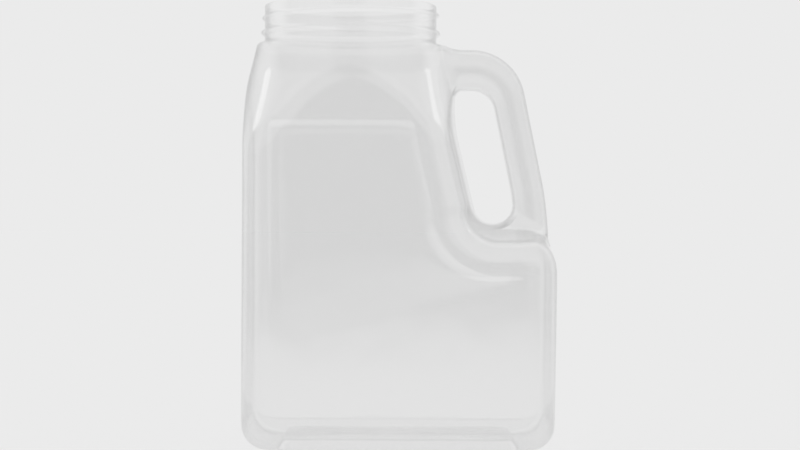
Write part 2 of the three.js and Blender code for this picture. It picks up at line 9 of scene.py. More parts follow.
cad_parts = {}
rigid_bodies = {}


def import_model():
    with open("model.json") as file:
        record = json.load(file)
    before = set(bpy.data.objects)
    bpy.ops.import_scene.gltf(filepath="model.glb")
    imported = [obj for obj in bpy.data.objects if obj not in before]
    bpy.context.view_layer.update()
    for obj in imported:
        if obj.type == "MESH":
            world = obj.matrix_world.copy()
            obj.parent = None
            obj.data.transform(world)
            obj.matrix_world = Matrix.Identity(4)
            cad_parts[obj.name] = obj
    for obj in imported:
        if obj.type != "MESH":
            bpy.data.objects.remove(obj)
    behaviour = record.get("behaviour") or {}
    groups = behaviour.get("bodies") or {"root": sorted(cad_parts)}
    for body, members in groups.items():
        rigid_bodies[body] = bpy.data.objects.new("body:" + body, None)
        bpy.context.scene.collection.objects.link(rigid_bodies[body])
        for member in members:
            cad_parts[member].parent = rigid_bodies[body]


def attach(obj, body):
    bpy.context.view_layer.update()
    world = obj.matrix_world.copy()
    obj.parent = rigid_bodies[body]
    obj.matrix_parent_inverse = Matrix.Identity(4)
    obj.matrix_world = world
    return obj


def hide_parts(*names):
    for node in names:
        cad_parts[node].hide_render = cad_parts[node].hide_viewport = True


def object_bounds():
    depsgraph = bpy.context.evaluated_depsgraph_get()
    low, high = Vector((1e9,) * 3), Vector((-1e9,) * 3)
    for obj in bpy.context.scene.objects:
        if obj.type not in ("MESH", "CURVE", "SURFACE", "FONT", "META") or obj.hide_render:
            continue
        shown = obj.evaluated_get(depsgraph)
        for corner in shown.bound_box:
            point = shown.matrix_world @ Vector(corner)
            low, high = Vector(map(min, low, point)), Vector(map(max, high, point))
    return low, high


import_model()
cad_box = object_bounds()

MM = 0.001
QUARTER = math.pi / 2

# Overall size, from the frame
CAD_HALF_WIDTH, HALF_DEPTH, HEIGHT = [value / MM for value in cad_box[1]]
SEAM_RISE = 0.16
HALF_WIDTH = CAD_HALF_WIDTH - SEAM_RISE
WALL = 0.55
WALL_WAVE = 0.22
WALL_WAVE_SIZE = 26
NECK_WALL = 1.2
NECK_FOLLOW = 0.6

# Screw neck, round about its own upright axis
NECK_X = -30.3
NECK_RADIUS = 52.3
RIM_EDGE = 0.7
RIM_INNER_EDGE = 0.3
THREAD_PITCH = 5.08
THREAD_RISE = 1.7
THREAD_HALF_WIDTH = 1.7
THREAD_SHARPNESS = 1.3
THREAD_MIDDLE_Z = 259.2
THREAD_FADE = 0.6
THREAD_TOP_Z = 264.6
THREAD_FOOT_Z = 253.4
BEAD_Z = 249.2
BEAD_RISE = 2.3
BEAD_HALF_WIDTH = 2.4
BEAD_SHARPNESS = 1.2
NECK_FOOT_Z = 244.6

# Shoulder: a dome that widens below the ledge and is cut by the flat faces and sides
LEDGE_START_Z = 243
LEDGE_START_RADIUS = 54.4
LEDGE_Z = 240.8
LEDGE_RADIUS_X = 57.3
LEDGE_RADIUS_Y = 54.2
ARM_DIP = 3.2
ARM_DIP_LAST = 0.25
ARM_DIP_HALF = 36
ARM_FOOT_ROW_Z = 208
SHOULDER_Z = 198
DOME_TOP_SLOPE = 0.06
DOME_FACE_SLOPE = 0.5
DOME_FACE_TOP_Z = 229.3
DOME_FACE_SOFT = 1.6
DOME_SIDE_SLOPE = 0.25
DOME_SIDE_SOFT = 2
DOME_SIDE_POWER = 6
WALL_CORNER = 14
SIDE_CROWN = 1
CROWN_POWER = 1.5
FOOT_SLANT = 1.2

# Finger gap, seen from the front: a wall that leans out, then a round bottom
GAP_WALL_X = 32.9
GAP_BEND_TOP_Z = 206
GAP_BEND_FOOT_Z = 177
GAP_LEAN = math.radians(13.5)
GAP_ROUND_X = 56.8
GAP_ROUND_Z = 145.6
GAP_ROUND = 12
GAP_WALL_CROWN = 4.8
GAP_ROUND_CROWN = 6
SADDLE_CROWN = 10
SADDLE_CROWN_POWER = 4
SADDLE_Z = GAP_ROUND_Z - GAP_ROUND

# Lower shoulder beyond the gap, swept about one centre
TURN_X = 70.4
TURN_Z = 99.8
TURN_SQUARENESS = 2.7
HOLE_TURN = 0.53

# Label panel, sunk into the front and the back. Its depth fades out over a long stretch towards its foot.
LABEL_SINK = 1.2
LABEL_STEP = 3
LABEL_TOP_Z = 194
LABEL_FOOT_Z = 31
LABEL_FOOT_FADE = 119
LABEL_CORNER = 5
LABEL_MARGIN_LEFT = 1.2
LABEL_MARGIN_GAP = 5.6
LABEL_MARGIN_RIGHT = 4.4
LABEL_TURN = 1.2
FAN_TOP_Z = 157
FAN_MIDDLE_Z = 100
FAN_FOOT_Z = 60

# Foot
HEEL_END = 16
HEEL_FRONT = 10
FOOT_SCALE = 0.835
FOOT_RING_SCALE = 0.78
PUSH_UP_SCALE = 0.73
PUSH_UP = 5.5
BASE_DOME = 7

# Handle, a tube between two outlines seen from the front
HANDLE_HALF_DEPTH = 14.5
HANDLE_SQUARENESS = 2.6
ARM_START_X = 38
ARM_TOP_Z = 239.6
ARM_FOOT_Z = 214.9
BEND_OUTER_X = 43.3
BEND_OUTER = 33
BEND_INNER_X = 43.8
BEND_INNER = 14
GRIP_LEAN = math.radians(11.6)
GRIP_LENGTH = 55.5
GRIP_FOOT_OUTER = Vector((90.3, 131))
GRIP_FOOT_INNER = Vector((68.8, 145.6))
GRIP_FOOT_LEAN = math.radians(3.5)
GRIP_FOOT_KNEE = 0.4
HANDLE_HOLE_HALF = 20
BLEND_PULL = 1.17

# Mould seam round the jug in its middle plane: its half width as a share of a hole's, and its lowest point
SEAM_HALF = 0.03
SEAM_FOOT_Z = 0.5

# How finely each stretch is divided
HOLE_COLUMNS = 11
WALL_COLUMNS = 8
CORNER_COLUMNS = 16
MARGIN_COLUMNS = 3
STEP_COLUMNS = 5
MIDDLE_COLUMNS = 7
HOLE_ROWS = 22
LEVEL_PASSES = 4
RIM_ROWS = 4
THREAD_ROWS = 28
BEAD_ROWS = 16
NECK_FOOT_ROWS = 3
LEDGE_PARTS = (0, 0.3, 0.6, 0.85, 1)
ARM_FOOT_ROWS = 5
SHOULDER_FOOT_ROWS = 2
LABEL_TOP_ROWS = 6
GAP_WALL_ROWS = 14
GAP_WALL_FOOT_HEIGHTS = (153, 149, 145.5)
GAP_ROUND_ROWS = 14
SADDLE_ROWS = 7
TURN_FOOT_ROWS = 12
PANEL_FOOT_ROWS = 14
WALL_FOOT_ROWS = 3
HEEL_ROWS = 12
FOOT_RING_ROWS = 3
PUSH_UP_ROWS = 10
BASE_ROWS = 9
BLEND_LOOPS = 16
BEND_STEPS = 26
GRIP_STEPS = 18
GRIP_FOOT_STEPS = 8
HOLE_ANGLE = math.radians(20.5)
STRIP_ANGLE = math.radians(30)
PANEL_ANGLE = math.radians(15)


def mix(a, b, t):
    return a + (b - a) * t


def steps(count):
    return [(i + 1) / count for i in range(count)]


def ease(t):
    return t * t * (3 - 2 * t)


def clamp(value, low, high):
    return max(low, min(high, value))


# The smaller of two lengths, with the corner between them rounded off
def soft_min(a, b, softness):
    share = clamp(0.5 + (b - a) / (2 * softness), 0, 1)
    return mix(b, a, share) - softness * share * (1 - share)


# A column is one upright line of the body's grid. A quarter runs from the side to the panel's middle.
def quarter_columns():
    strip = HALF_DEPTH - WALL_CORNER
    columns = [{"zone": "strip", "y": 0, "angle": 0}]
    for t in [SEAM_HALF] + [mix(SEAM_HALF, 1, u) for u in steps(HOLE_COLUMNS - 1)]:
        columns.append({"zone": "strip", "y": HANDLE_HOLE_HALF * t, "angle": HOLE_ANGLE * t})
    for t in steps(WALL_COLUMNS):
        angle = mix(HOLE_ANGLE, STRIP_ANGLE, t)
        columns.append({"zone": "strip", "y": mix(HANDLE_HOLE_HALF, strip, t), "angle": angle})
    panel_start = QUARTER - PANEL_ANGLE
    for t in steps(CORNER_COLUMNS):
        columns.append({"zone": "corner", "turn": QUARTER * t, "angle": mix(STRIP_ANGLE, panel_start, t)})
    stretches = [("margin", MARGIN_COLUMNS), ("step", STEP_COLUMNS), ("middle", MIDDLE_COLUMNS)]
    total = sum(count for _, count in stretches)
    done = 0
    for zone, count in stretches:
        for t in steps(count):
            done += 1
            columns.append({"zone": zone, "t": t, "angle": mix(panel_start, QUARTER, done / total)})
    return columns


# All columns, anticlockwise from above, from the middle of the handle side
def ring_columns():
    quarter = quarter_columns()

    def place(columns, side, face):
        return [dict(column, side=side, face=face) for column in columns]

    ring = place(quarter, "right", 1)
    ring += place(quarter[-2::-1], "left", 1)
    ring += place(quarter[1:], "left", -1)
    ring += place(quarter[-2:0:-1], "right", -1)
    return ring


COLUMNS = ring_columns()


# A round row: an ellipse about the neck's axis
def round_point(radius_x, radius_y, z, column):
    side = 1 if column["side"] == "right" else -1
    x = NECK_X + side * radius_x * math.cos(column["angle"])
    return Vector((x, column["face"] * radius_y * math.sin(column["angle"]), z))


# A ledge row dips where the handle's arm leaves it
def ledge_point(row, column):
    at = round_point(row["radius_x"], row["radius_y"], row["z"], column)
    if column["side"] == "right" and abs(at.y) < ARM_DIP_HALF:
        at.z -= row["dip"] * math.cos(at.y / ARM_DIP_HALF * QUARTER) ** 2
    return at


# How much the label is sunk at a place, from how far that place is inside two of its borders
def label_sink(inward, deep):
    corner = math.hypot(max(0, LABEL_CORNER - inward), max(0, LABEL_CORNER - deep))
    return LABEL_SINK * ease(clamp((LABEL_CORNER - corner) / LABEL_STEP, 0, 1))


# How far a column lies in from the side's outline, and how far towards the front or back
def inset_of(edge, column, deep):
    strip = HALF_DEPTH - WALL_CORNER
    zone = column["zone"]
    if zone == "strip":
        return edge["crown"] * (column["y"] / strip) ** CROWN_POWER, column["y"]
    if zone == "corner":
        inward = edge["crown"] + WALL_CORNER * (1 - math.cos(column["turn"]))
        return inward, strip + WALL_CORNER * math.sin(column["turn"])
    rim = edge["crown"] + WALL_CORNER
    if zone == "margin":
        return rim + edge["margin"] * column["t"], HALF_DEPTH
    if zone == "step":
        inward = LABEL_STEP * column["t"]
        return rim + edge["margin"] + inward, HALF_DEPTH - label_sink(inward, deep)
    return rim + edge["margin"] + LABEL_STEP, HALF_DEPTH - label_sink(LABEL_CORNER, deep)


def edge_point(edge, column, deep):
    inward, y = inset_of(edge, column, deep)
    x = edge["x"] - edge["out_x"] * inward
    z = edge["z"] - edge["out_z"] * inward
    return Vector((x, column["face"] * y, z))


# A square row: both side outlines, their corners, and the flat panel between
def square_point(row, column):
    if column["zone"] != "middle":
        return edge_point(row[column["side"]], column, row["deep"])
    left = edge_point(row["left"], column, row["deep"])
    right = edge_point(row["right"], column, row["deep"])
    across = column["t"] / 2
    return left.lerp(right, across if column["side"] == "left" else 1 - across)


# A square row's point, drawn in to the shoulder's dome where the dome is the smaller
def cut_by_dome(square):
    across = square.x - NECK_X
    bearing = math.atan2(square.y, across)
    sideways = math.cos(bearing) ** DOME_SIDE_POWER
    ledge = 1 / math.hypot(math.cos(bearing) / LEDGE_RADIUS_X, math.sin(bearing) / LEDGE_RADIUS_Y)
    below = LEDGE_Z - square.z
    face_slope = DOME_FACE_SLOPE * (DOME_FACE_TOP_Z - square.z)
    face_growth = -soft_min(-DOME_TOP_SLOPE * below, -face_slope, DOME_FACE_SOFT)
    dome = ledge + mix(face_growth, DOME_SIDE_SLOPE * below, sideways)
    reach = math.hypot(across, square.y)
    kept = soft_min(dome, reach, mix(DOME_FACE_SOFT, DOME_SIDE_SOFT, sideways)) / reach
    return Vector((NECK_X + across * kept, square.y * kept, square.z))


# Where a row's outline lies in one direction from the neck's axis
def outline_at(outline, bearing):
    ahead = Vector((math.cos(bearing), math.sin(bearing)))
    places = [Vector((at.x - NECK_X, at.y)) for at in outline]
    turned = [ahead.x * place.y - ahead.y * place.x for place in places]
    for u, place in enumerate(places):
        right = (u + 1) % len(places)
        if ahead.dot(place) > 0 and turned[u] <= 0 < turned[right]:
            return outline[u].lerp(outline[right], turned[u] / (turned[u] - turned[right]))
    raise ValueError("the outline doesn't go round the neck's axis")


# A shoulder row: its columns swing from the neck's even spacing to the square outline's own
def shoulder_ring(row):
    outline = [square_point(row, column) for column in COLUMNS]
    ring = []
    for column, square in zip(COLUMNS, outline):
        start = round_point(LEDGE_RADIUS_X, LEDGE_RADIUS_Y, row["z"], column)
        from_bearing, to_bearing = [math.atan2(at.y, at.x - NECK_X) for at in (start, square)]
        if row["squareness"] < 1:
            square = outline_at(outline, mix(from_bearing, to_bearing, row["squareness"]))
        ring.append(cut_by_dome(square))
    return ring


# One turn of a right-hand thread that starts and ends at the back and fades out there
def thread_rise(column, z):
    from_right = column["angle"] if column["side"] == "right" else math.pi - column["angle"]
    turned = (from_right * column["face"] + 3 * QUARTER) % (4 * QUARTER) / (4 * QUARTER)
    crest_z = THREAD_MIDDLE_Z + THREAD_PITCH * (turned - 0.5)
    off = abs(z - crest_z) / THREAD_HALF_WIDTH
    from_end = min(turned, 1 - turned) * 4 * QUARTER
    fade = ease(min(1, from_end / THREAD_FADE))
    return THREAD_RISE * fade * math.cos(off * QUARTER) ** THREAD_SHARPNESS if off < 1 else 0


def neck_point(row, column):
    threaded = THREAD_FOOT_Z <= row["z"] <= THREAD_TOP_Z
    radius = row["radius"] + (thread_rise(column, row["z"]) if threaded else 0)
    return round_point(radius, radius, row["z"], column)


# Foot rows shrink the outline of the walls' end towards the middle of the base
def foot_point(row, column):
    outline = square_point(row["outline"], column)
    zone = column["zone"]
    frontness = math.sin(column["turn"]) ** 2 if zone == "corner" else float(zone != "strip")
    heel = mix(HEEL_END, HEEL_FRONT, frontness)
    return Vector((outline.x * row["scale"], outline.y * row["scale"], row["z"] + heel * row["heel_part"]))


def row_ring(row):
    if row["kind"] == "shoulder":
        return shoulder_ring(row)
    places = {"neck": neck_point, "ledge": ledge_point, "foot": foot_point, "wall": square_point}
    return [places[row["kind"]](row, column) for column in COLUMNS]


def neck_row(z, rise=0.0):
    return {"kind": "neck", "z": z, "radius": NECK_RADIUS + rise, "wall": NECK_WALL}


def ledge_row(z, radius_x, radius_y, dip, wall):
    return {"kind": "ledge", "z": z, "radius_x": radius_x, "radius_y": radius_y, "dip": dip, "wall": wall}


def side_edge(x, z, out_x, out_z, crown, margin):
    return {"x": x, "z": z, "out_x": out_x, "out_z": out_z, "crown": crown, "margin": margin}


def left_edge(z):
    return side_edge(-HALF_WIDTH, z, -1, 0, SIDE_CROWN, LABEL_MARGIN_LEFT)


def right_edge(x, z, lean, crown, margin):
    return side_edge(x, z, math.cos(lean), math.sin(lean), crown, margin)


# Right outline behind the arm and down the finger gap's leaning wall
def gap_wall_edge(z):
    arc_x = GAP_ROUND_X - GAP_ROUND * math.cos(GAP_LEAN)
    arc_z = GAP_ROUND_Z - GAP_ROUND * math.sin(GAP_LEAN)
    if z <= GAP_BEND_FOOT_Z:
        x = arc_x - (z - arc_z) * math.tan(GAP_LEAN)
        return right_edge(x, z, GAP_LEAN, GAP_WALL_CROWN, LABEL_MARGIN_GAP)
    bend = max(0, (GAP_BEND_TOP_Z - z) / (GAP_BEND_TOP_Z - GAP_BEND_FOOT_Z))
    foot_x = arc_x - (GAP_BEND_FOOT_Z - arc_z) * math.tan(GAP_LEAN)
    x = mix(GAP_WALL_X, foot_x, bend**2)
    return right_edge(x, z, GAP_LEAN * bend, GAP_WALL_CROWN, LABEL_MARGIN_GAP)


# The gap wall's edge that brings the label's border to the given height, fading to the plain edge
def level_edge(z):
    inward = GAP_WALL_CROWN + WALL_CORNER + LABEL_MARGIN_GAP + LABEL_STEP
    level = clamp((z - FAN_TOP_Z) / (LABEL_TOP_Z - LABEL_STEP - FAN_TOP_Z), 0, 1)
    edge = gap_wall_edge(z)
    for _ in range(LEVEL_PASSES):
        edge = gap_wall_edge(z + level * inward * edge["out_z"])
    return edge


# Round bottom of the gap, from its leaning wall (0) to its lowest point (1)
def gap_round_edge(t):
    down = mix(GAP_LEAN, QUARTER, t)
    x = GAP_ROUND_X - GAP_ROUND * math.cos(down)
    z = GAP_ROUND_Z - GAP_ROUND * math.sin(down)
    return right_edge(x, z, down, mix(GAP_ROUND_CROWN, SADDLE_CROWN, t), LABEL_MARGIN_GAP)


def saddle_edge(t):
    return right_edge(mix(GAP_ROUND_X, TURN_X, t), SADDLE_Z, QUARTER, SADDLE_CROWN, LABEL_MARGIN_GAP)


# Lower shoulder, a squarish quarter oval from level above its centre (0) to upright beside it (1)
def turn_edge(t):
    bearing = QUARTER * (1 - t)
    across = (max(0, math.cos(bearing)) / (HALF_WIDTH - TURN_X)) ** TURN_SQUARENESS
    up = (math.sin(bearing) / (SADDLE_Z - TURN_Z)) ** TURN_SQUARENESS
    reach = (across + up) ** (-1 / TURN_SQUARENESS)
    crown = mix(SIDE_CROWN, SADDLE_CROWN, math.sin(bearing) ** SADDLE_CROWN_POWER)
    margin = reach - crown - WALL_CORNER - LABEL_STEP - LABEL_TURN
    x = TURN_X + reach * math.cos(bearing)
    return right_edge(x, TURN_Z + reach * math.sin(bearing), bearing, crown, margin)


def right_wall_edge(z):
    slant = FOOT_SLANT * (1 - z / TURN_Z)
    return right_edge(HALF_WIDTH - slant, z, 0, SIDE_CROWN, LABEL_MARGIN_RIGHT)


def wall_row(left, right):
    above_foot = (left["z"] - LABEL_FOOT_Z) * LABEL_STEP / LABEL_FOOT_FADE
    deep = min(LABEL_TOP_Z - left["z"], above_foot)
    return {"kind": "wall", "left": left, "right": right, "deep": deep, "wall": WALL}


def shoulder_row(z):
    down = min(1, (LEDGE_Z - z) / (LEDGE_Z - SHOULDER_Z))
    squareness = math.sin(QUARTER * down) if down < 1 else 1
    return dict(wall_row(left_edge(z), level_edge(z)), kind="shoulder", z=z, squareness=squareness)


def neck_rows():
    rows = []
    for t in [0] + steps(RIM_ROWS):
        turn = QUARTER * t
        rows.append(neck_row(HEIGHT - RIM_EDGE * (1 - math.cos(turn)), RIM_EDGE * (math.sin(turn) - 1)))
    for t in steps(THREAD_ROWS):
        rows.append(neck_row(mix(THREAD_TOP_Z, THREAD_FOOT_Z, t)))
    for t in [0] + steps(BEAD_ROWS):
        across = 2 * t - 1
        rise = BEAD_RISE * math.cos(across * QUARTER) ** BEAD_SHARPNESS if abs(across) < 1 else 0
        rows.append(neck_row(BEAD_Z - BEAD_HALF_WIDTH * across, rise))
    for t in steps(NECK_FOOT_ROWS):
        rows.append(neck_row(mix(BEAD_Z - BEAD_HALF_WIDTH, NECK_FOOT_Z, t)))
    return rows


# Ledge rows that round the corner between its slope and the shoulder
def ledge_rows():
    start_y = (NECK_RADIUS + LEDGE_RADIUS_Y) / 2
    rows = []
    for t in LEDGE_PARTS:
        radius_x = mix(LEDGE_START_RADIUS, LEDGE_RADIUS_X, math.sin(QUARTER * t))
        radius_y = mix(start_y, LEDGE_RADIUS_Y, math.sin(QUARTER * t))
        z = mix(LEDGE_START_Z, LEDGE_Z, 1 - math.cos(QUARTER * t))
        dip = ARM_DIP * mix(1, ARM_DIP_LAST, t)
        rows.append(ledge_row(z, radius_x, radius_y, dip, mix(NECK_WALL, WALL, t)))
    return rows


def body_rows():
    rows = neck_rows()
    top_hole = [len(rows)]
    ledge = ledge_rows()
    rows += ledge
    for t in steps(HOLE_ROWS + 1 - len(ledge)):
        rows.append(shoulder_row(mix(LEDGE_Z, ARM_FOOT_ROW_Z, t)))
    top_hole.append(len(rows) - 1)
    for t in steps(ARM_FOOT_ROWS):
        rows.append(shoulder_row(mix(ARM_FOOT_ROW_Z, SHOULDER_Z, t)))
    rows += [shoulder_row(mix(SHOULDER_Z, LABEL_TOP_Z, t)) for t in steps(SHOULDER_FOOT_ROWS)]
    rows += [shoulder_row(LABEL_TOP_Z - LABEL_STEP * t) for t in steps(LABEL_TOP_ROWS)]
    for t in steps(GAP_WALL_ROWS):
        rows.append(shoulder_row(mix(LABEL_TOP_Z - LABEL_STEP, FAN_TOP_Z, t)))
    edges = [gap_wall_edge(z) for z in GAP_WALL_FOOT_HEIGHTS]
    edges += [gap_round_edge(t) for t in [0] + steps(GAP_ROUND_ROWS)]
    foot_hole = [len(rows) + len(edges) - 1]
    round_count = len(edges)
    edges += [saddle_edge(t) for t in steps(SADDLE_ROWS)]
    edges += [turn_edge(HOLE_TURN * t) for t in steps(HOLE_ROWS - SADDLE_ROWS)]
    foot_hole.append(len(rows) + len(edges) - 1)
    edges += [turn_edge(mix(HOLE_TURN, 1, t)) for t in steps(TURN_FOOT_ROWS)]
    for i, edge in enumerate(edges):
        upper = mix(FAN_TOP_Z, FAN_MIDDLE_Z, (i + 1) / round_count)
        lower = mix(FAN_MIDDLE_Z, FAN_FOOT_Z, (i + 1 - round_count) / (len(edges) - round_count))
        rows.append(wall_row(left_edge(upper if i < round_count else lower), edge))
    for t in steps(PANEL_FOOT_ROWS):
        left_z = mix(FAN_FOOT_Z, LABEL_FOOT_Z, t)
        right_z = mix(TURN_Z, LABEL_FOOT_Z, t)
        rows.append(wall_row(left_edge(left_z), right_wall_edge(right_z)))
    for t in steps(WALL_FOOT_ROWS)[:-1]:
        z = mix(LABEL_FOOT_Z, HEEL_END, t)
        rows.append(wall_row(left_edge(z), right_wall_edge(z)))
    outline = wall_row(left_edge(HEEL_END), right_wall_edge(HEEL_END))

    def foot_row(scale, z, heel_part=0.0):
        shape = {"outline": outline, "scale": scale, "z": z, "heel_part": heel_part}
        rows.append(dict(shape, kind="foot", wall=WALL))

    foot_row(1, 0, 1)
    for t in steps(HEEL_ROWS):
        turn = QUARTER * t
        foot_row(mix(FOOT_SCALE, 1, math.cos(turn)), 0, 1 - math.sin(turn))
    for t in steps(FOOT_RING_ROWS):
        foot_row(mix(FOOT_SCALE, FOOT_RING_SCALE, t), 0)
    for t in steps(PUSH_UP_ROWS):
        foot_row(mix(FOOT_RING_SCALE, PUSH_UP_SCALE, t), PUSH_UP * ease(t))
    for t in steps(BASE_ROWS)[:-1]:
        foot_row(mix(PUSH_UP_SCALE, 0, t), mix(PUSH_UP, BASE_DOME, math.sin(QUARTER * t)))
    return rows, top_hole, foot_hole


# Handle sections: the outer and inner outline points that face each other, and the way the tube runs
def handle_sections():
    sections = [(Vector((ARM_START_X, ARM_TOP_Z)), Vector((ARM_START_X, ARM_FOOT_Z)), Vector((1, 0)))]
    for i in range(BEND_STEPS + 1):
        bearing = mix(QUARTER, GRIP_LEAN, i / BEND_STEPS)
        out = Vector((math.cos(bearing), math.sin(bearing)))
        outer = Vector((BEND_OUTER_X, ARM_TOP_Z - BEND_OUTER)) + out * BEND_OUTER
        inner = Vector((BEND_INNER_X, ARM_FOOT_Z - BEND_INNER)) + out * BEND_INNER
        sections.append((outer, inner, Vector((out.y, -out.x))))
    bend_outer, bend_inner, down = sections[-1]
    out = Vector((-down.y, down.x))
    thick = (bend_outer - bend_inner).dot(out)
    for t in steps(GRIP_STEPS):
        outer = bend_outer + down * GRIP_LENGTH * t
        slip = mix(bend_outer.y - bend_inner.y, out.y * thick, ease(t))
        inner = Vector((outer.x - (thick - slip * out.y) / out.x, outer.y - slip))
        sections.append((outer, inner, down))

    def foot_curve(start, end, t):
        fall = start.y - end.y
        knee = Vector((start.x - down.x / down.y * fall * GRIP_FOOT_KNEE, start.y - fall * GRIP_FOOT_KNEE))
        return start.lerp(knee, t).lerp(knee.lerp(end, t), t)

    grip_outer, grip_inner, _ = sections[-1]
    foot_along = Vector((math.sin(GRIP_FOOT_LEAN), -math.cos(GRIP_FOOT_LEAN)))
    for t in steps(GRIP_FOOT_STEPS):
        outer = foot_curve(grip_outer, GRIP_FOOT_OUTER, t)
        inner = foot_curve(grip_inner, GRIP_FOOT_INNER, t)
        sections.append((outer, inner, down.lerp(foot_along, t).normalized()))
    return sections


# Bearings of the loop's points round a section: outer side, back, inner side, front
def loop_bearings():
    across = [column["y"] / HANDLE_HOLE_HALF for column in COLUMNS[: HOLE_COLUMNS + 1]]
    side = [-t for t in reversed(across)] + across[1:]
    end = [2 * i / HOLE_ROWS - 1 for i in range(HOLE_ROWS + 1)]
    bearings = []
    for number, stretch in enumerate([side, end, side, end]):
        bearings += [QUARTER * (number + t / 2) for t in stretch[:-1]]
    return bearings


def squash(value):
    return math.copysign(abs(value) ** (2 / HANDLE_SQUARENESS), value)


BEARINGS = loop_bearings()


def section_loop(section):
    outer, inner, _ = section
    middle = (outer + inner) / 2
    loop = []
    for bearing in BEARINGS:
        at = middle + (outer - middle) * squash(math.cos(bearing))
        loop.append(Vector((at.x, HANDLE_HALF_DEPTH * squash(math.sin(bearing)), at.y)))
    return loop


# Grid places round a hole in the body, in the loop's order, each with its neighbour inside the hole
def hole_border(outer_row, inner_row):
    count = len(COLUMNS)
    row_step = 1 if inner_row > outer_row else -1
    border = []

    def add(row, k, row_in, column_in):
        border.append((row, k % count, row + row_in, (k + column_in) % count))

    for k in range(-HOLE_COLUMNS, HOLE_COLUMNS):
        add(outer_row, k, row_step, int(k == -HOLE_COLUMNS))
    for row in range(outer_row, inner_row, row_step):
        add(row, HOLE_COLUMNS, row_step * int(row == outer_row), -1)
    for k in range(HOLE_COLUMNS, -HOLE_COLUMNS, -1):
        add(inner_row, k, -row_step, -int(k == HOLE_COLUMNS))
    for row in range(inner_row, outer_row, -row_step):
        add(row, -HOLE_COLUMNS, -row_step * int(row == inner_row), 1)
    return border


# Loops of points that carry the body's skin over into the tube
def blend_loops(rings, border, section, towards_body):
    tube = section_loop(section)
    along = Vector((section[2].x, 0, section[2].y)) * (-1 if towards_body else 1)
    starts = [rings[row][column] for row, column, _, _ in border]
    pulls = []
    for (row, column, row_in, column_in), start, end in zip(border, starts, tube):
        pull = (rings[row_in][column_in] - start).normalized()
        pulls.append(pull * BLEND_PULL * (start - end).length)
    loops = []
    for step in range(1, BLEND_LOOPS + 1):
        t = step / (BLEND_LOOPS + 1)
        loop = []
        for start, pull, end in zip(starts, pulls, tube):
            at = start * (2 * t**3 - 3 * t**2 + 1) + pull * (t**3 - 2 * t**2 + t)
            leave = along * BLEND_PULL * (start - end).length
            loop.append(at + end * (3 * t**2 - 2 * t**3) + leave * (t**3 - t**2))
        loops.append(loop)
    return loops


class Skin:
    """The outer skin as numbered points and four-cornered faces."""

    def __init__(self):
        self.points = []
        self.rows, self.top_hole, self.foot_hole = body_rows()
        rings = [row_ring(row) for row in self.rows]
        self.ids = [self.keep(ring) for ring in rings]
        self.pole = self.keep([Vector((0, 0, BASE_DOME))])[0]
        sections = handle_sections()
        top = hole_border(*self.top_hole)
        foot = hole_border(*reversed(self.foot_hole))
        loops = blend_loops(rings, top, sections[0], False)
        loops += [section_loop(section) for section in sections]
        loops += reversed(blend_loops(rings, foot, sections[-1], True))
        self.tube = [[self.ids[row][column] for row, column, _, _ in top]]
        self.tube += [self.keep(loop) for loop in loops]
        self.tube.append([self.ids[row][column] for row, column, _, _ in foot])
        self.faces = self.make_faces()
        self.normals = self.make_normals()

    def keep(self, points):
        first = len(self.points)
        self.points += points
        return list(range(first, len(self.points)))

    def is_hole(self, row, column):
        if HOLE_COLUMNS <= column < len(COLUMNS) - HOLE_COLUMNS:
            return False
        return any(first <= row < last for first, last in (self.top_hole, self.foot_hole))

    def make_faces(self):
        faces = []
        count = len(COLUMNS)
        for row in range(len(self.ids) - 1):
            here, below = self.ids[row], self.ids[row + 1]
            for u in range(count):
                right = (u + 1) % count
                if not self.is_hole(row, u):
                    faces.append((here[u], below[u], below[right], here[right]))
        last = self.ids[-1]
        faces += [(last[u], self.pole, last[(u + 1) % count]) for u in range(count)]
        for here, there in zip(self.tube, self.tube[1:]):
            for i in range(len(here)):
                right = (i + 1) % len(here)
                faces.append((here[i], there[i], there[right], here[right]))
        return faces

    def make_normals(self):
        normals = [Vector() for _ in self.points]
        for face in self.faces:
            a, b, c = (self.points[i] for i in face[:3])
            normal = (b - a).cross(c - a)
            if len(face) == 4:
                normal += (c - a).cross(self.points[face[3]] - a)
            for i in face:
                normals[i] += normal
        return [normal.normalized() for normal in normals]

    # Points on the mould seam: the middle column on each side, and the handle's two middle lines
    def seam_points(self):
        middle = (0, len(COLUMNS) // 2)
        seam = [ring[u] for ring in self.ids[len(neck_rows()):] for u in middle]
        side = 2 * HOLE_COLUMNS + HOLE_ROWS
        seam += [loop[i] for loop in self.tube[1:-1] for i in (HOLE_COLUMNS, HOLE_COLUMNS + side)]
        return seam


# The wall's thickness drifts a little from place to place, as in a blown shell
def wall_at(at, wall):
    return wall * (1 + WALL_WAVE * noise.noise(at / WALL_WAVE_SIZE))


